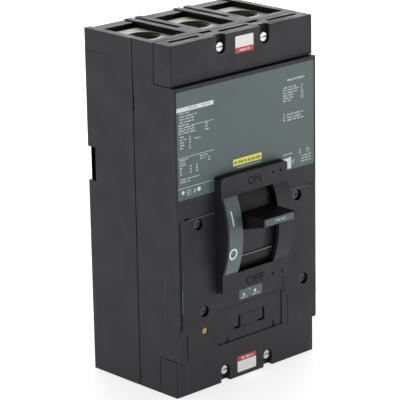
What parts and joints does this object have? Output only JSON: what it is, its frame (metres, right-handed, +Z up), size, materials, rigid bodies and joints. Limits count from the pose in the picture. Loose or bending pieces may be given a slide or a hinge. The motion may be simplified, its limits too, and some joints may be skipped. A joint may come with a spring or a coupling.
{
  "type": "molded case circuit breaker",
  "caption": "Three-pole molded case circuit breaker: charcoal case with end covers, grey label, curved handle escutcheon, rocking toggle handle, push-to-trip button and box lugs.",
  "frame": {"origin": "centre of the rear mounting face", "axes": "+X to the right seen from the front, +Y into the panel, +Z up towards the line end; the front faces -Y"},
  "size_m": [0.1524, 0.1354, 0.2794],
  "materials": {
    "case_plastic": "matte moulded, charcoal",
    "inner_plastic": "matte moulded, black",
    "label_film": "grey-green printed film",
    "zinc_screw": "bright zinc",
    "black_screw": "black oxide",
    "steel": "plain",
    "lug_aluminium": "tinned",
    "copper": "bare copper",
    "yellow_plastic": "yellow moulded"
  },
  "bodies": {
    "case": {"base_case": "case_plastic", "main_cover": "case_plastic", "line_end_cover": "case_plastic", "load_end_cover": "case_plastic", "handle_surround": "case_plastic", "left_accessory_cover": "case_plastic", "right_accessory_cover": "case_plastic", "adjuster_plate": "case_plastic", "faceplate": "label_film", "position_strip": "label_film", "accessory_screw_upper_left": "black_screw", "accessory_screw_lower_left": "black_screw", "accessory_screw_upper_right": "black_screw", "accessory_screw_lower_right": "black_screw", "line_cover_screw_left": "zinc_screw", "line_cover_screw_right": "zinc_screw", "line_lug_a": "lug_aluminium", "line_lug_screw_a": "lug_aluminium", "line_lug_b": "lug_aluminium", "line_lug_screw_b": "lug_aluminium", "line_lug_c": "lug_aluminium", "line_lug_screw_c": "lug_aluminium", "load_cover_screw_left": "zinc_screw", "load_cover_screw_right": "zinc_screw", "load_lug_a": "lug_aluminium", "load_lug_screw_a": "lug_aluminium", "load_lug_b": "lug_aluminium", "load_lug_screw_b": "lug_aluminium", "load_lug_c": "lug_aluminium", "load_lug_screw_c": "lug_aluminium", "mechanism_frame_left": "steel", "mechanism_frame_right": "steel", "push_to_trip_spring": "steel", "line_strap_a": "copper", "load_strap_a": "copper", "bimetal_a": "steel", "arc_chute_a": "steel", "line_strap_b": "copper", "load_strap_b": "copper", "bimetal_b": "steel", "arc_chute_b": "steel", "line_strap_c": "copper", "load_strap_c": "copper", "bimetal_c": "steel", "arc_chute_c": "steel"},
    "handle": {"toggle_handle": "inner_plastic", "handle_rating_insert": "label_film", "handle_yoke": "steel", "drive_spring_left": "steel", "drive_spring_right": "steel"},
    "moving_contacts": {"contact_crossbar": "inner_plastic", "contact_arm_a": "copper", "contact_arm_b": "copper", "contact_arm_c": "copper"},
    "lower_link": {"lower_toggle_link": "steel"},
    "cradle": {"cradle_latch": "steel"},
    "upper_link": {"upper_toggle_link": "steel", "knee_pin": "steel"},
    "trip_button": {"push_to_trip_button": "yellow_plastic"},
    "trip_shaft": {"trip_bar": "inner_plastic"}
  },
  "joints": [
    {"name": "handle_swing", "type": "hinge", "parent": "case", "child": "handle", "pos_m": [0, -0.036, -0.0157], "axis": [-1, 0, 0], "range_deg": [-24.4, 9.8], "deforming": ["drive_spring_left", "drive_spring_right"]},
    {"name": "contact_swing", "type": "hinge", "parent": "case", "child": "moving_contacts", "pos_m": [0, -0.03, -0.04], "axis": [-1, 0, 0], "range_deg": [-18.59, 7.5]},
    {"name": "lower_link_pivot", "type": "hinge", "parent": "moving_contacts", "child": "lower_link", "pos_m": [0, -0.04147, -0.0294], "axis": [-1, 0, 0], "range_deg": [-9.59, 23.81]},
    {"name": "button_push", "type": "slide", "parent": "case", "child": "trip_button", "axis": [0, 1, 0], "range_m": [0, 0.003], "stiffness_N_per_m": 1200, "springref_m": -0.002, "deforming": ["push_to_trip_spring"]},
    {"name": "trip_bar_turn", "type": "hinge", "parent": "case", "child": "trip_shaft", "pos_m": [0, -0.058, -0.072], "axis": [1, 0, 0], "range_deg": [-0.05, 9.45]},
    {"name": "cradle_release", "type": "hinge", "parent": "case", "child": "cradle", "pos_m": [0, -0.062, -0.052], "axis": [1, 0, 0], "range_deg": [-0.05, 10.05]},
    {"name": "upper_link_pivot", "type": "hinge", "parent": "cradle", "child": "upper_link", "pos_m": [0, -0.065, -0.021], "axis": [-1, 0, 0], "range_deg": [-7.11, 17.64]}
  ],
  "couplings": [
    {"joint": "contact_swing", "follows": "handle_swing", "ratio": 0.76},
    {"joint": "lower_link_pivot", "follows": "handle_swing", "ratio": -0.9737},
    {"joint": "upper_link_pivot", "follows": "handle_swing", "ratio": -0.7207},
    {"joint": "trip_bar_turn", "follows": "button_push", "rad_per_m": 54.687},
    {"joint": "cradle_release", "follows": "button_push", "rad_per_m": 58.178}
  ]
}
